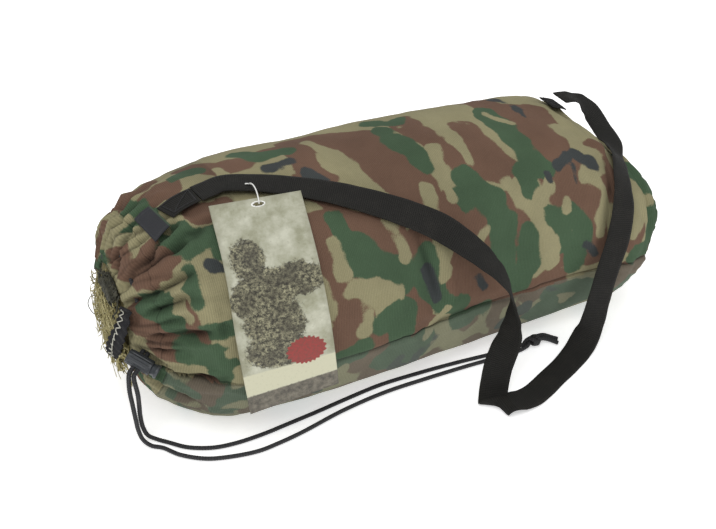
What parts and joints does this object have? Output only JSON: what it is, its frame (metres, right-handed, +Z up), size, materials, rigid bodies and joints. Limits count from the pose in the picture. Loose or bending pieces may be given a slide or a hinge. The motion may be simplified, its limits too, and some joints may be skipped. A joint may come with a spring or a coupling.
{
  "type": "packed ghillie suit bag",
  "caption": "Soft camouflage carry bag lying on its side, stuffed with a yarn ghillie suit, with shoulder strap, drawcord mouth, cord lock and hanging card tag.",
  "frame": {"origin": "on the resting surface, below the middle of the bag", "axes": "+X along the bag from the mouth to the base, +Y away from the front, where the strap and tag hang, +Z up"},
  "size_m": [0.5187, 0.3069, 0.1986],
  "materials": {
    "camouflage_fabric": "ribbed woven, matt",
    "camouflage_fabric_lower": "ribbed woven, matt, slightly paler",
    "hem_fabric": "gathered woven, matt",
    "garment_cloth": "loose yarn on netting",
    "yarn": "dull straw fibre",
    "netting": "dark knotted net",
    "elastic": "matt black elastic",
    "webbing": "black ribbed webbing",
    "cord": "black braided cord",
    "lock_body_plastic": "ribbed moulded",
    "lock_plunger_plastic": "smooth moulded",
    "spring_steel": "bright wire",
    "label_cloth": "woven satin",
    "filament": "white filament",
    "tag_card": "printed coated card"
  },
  "bodies": {
    "bag": {"bag_upper_panel": "camouflage_fabric", "bag_lower_panel": "camouflage_fabric_lower", "drawcord_channel": "hem_fabric", "jacket": "garment_cloth", "trousers": "garment_cloth", "hood": "garment_cloth", "rifle_wrap": "garment_cloth", "trouser_waistband": "elastic", "yarn_tuft_mouth": "yarn", "yarn_tuft_hanging": "yarn", "netting_tuft": "netting", "draw_cord_in_channel": "cord", "draw_cord_strand_a": "cord", "draw_cord_strand_b": "cord", "draw_cord_knot": "cord", "strap_mouth_end": "webbing", "strap_base_end": "webbing"},
    "strap": {"shoulder_strap": "webbing", "tag_string": "filament"},
    "tag": {"hang_tag": "tag_card"},
    "label": {"woven_label": "label_cloth"},
    "cord_lock": {"cord_lock_barrel": "lock_body_plastic", "cord_lock_spring": "spring_steel"},
    "lock_plunger": {"cord_lock_plunger": "lock_plunger_plastic"}
  },
  "joints": [
    {"name": "strap_lift", "type": "hinge", "parent": "bag", "child": "strap", "pos_m": [-0.177, -0.0065, 0.189], "axis": [-0.994, -0.1092, -0.0027], "range_deg": [0, 70]},
    {"name": "tag_swing", "type": "hinge", "parent": "strap", "child": "tag", "pos_m": [-0.1372, -0.0586, 0.1897], "axis": [-0.9917, 0.1262, -0.026], "range_deg": [0, 35]},
    {"name": "label_flap", "type": "hinge", "parent": "bag", "child": "label", "pos_m": [-0.2114, -0.0064, 0.1788], "axis": [-0.1607, 0.9866, 0.0277], "range_deg": [0, 100]},
    {"name": "cord_lock_slide", "type": "slide", "parent": "bag", "child": "cord_lock", "axis": [-0.7224, -0.5546, -0.4129], "range_m": [0, 0.005]},
    {"name": "plunger_press", "type": "slide", "parent": "cord_lock", "child": "lock_plunger", "axis": [-0.6911, 0.5609, 0.4557], "range_m": [0, 0.0035], "stiffness_N_per_m": 400, "springref_m": -0.001, "deforming": ["cord_lock_spring"]}
  ]
}
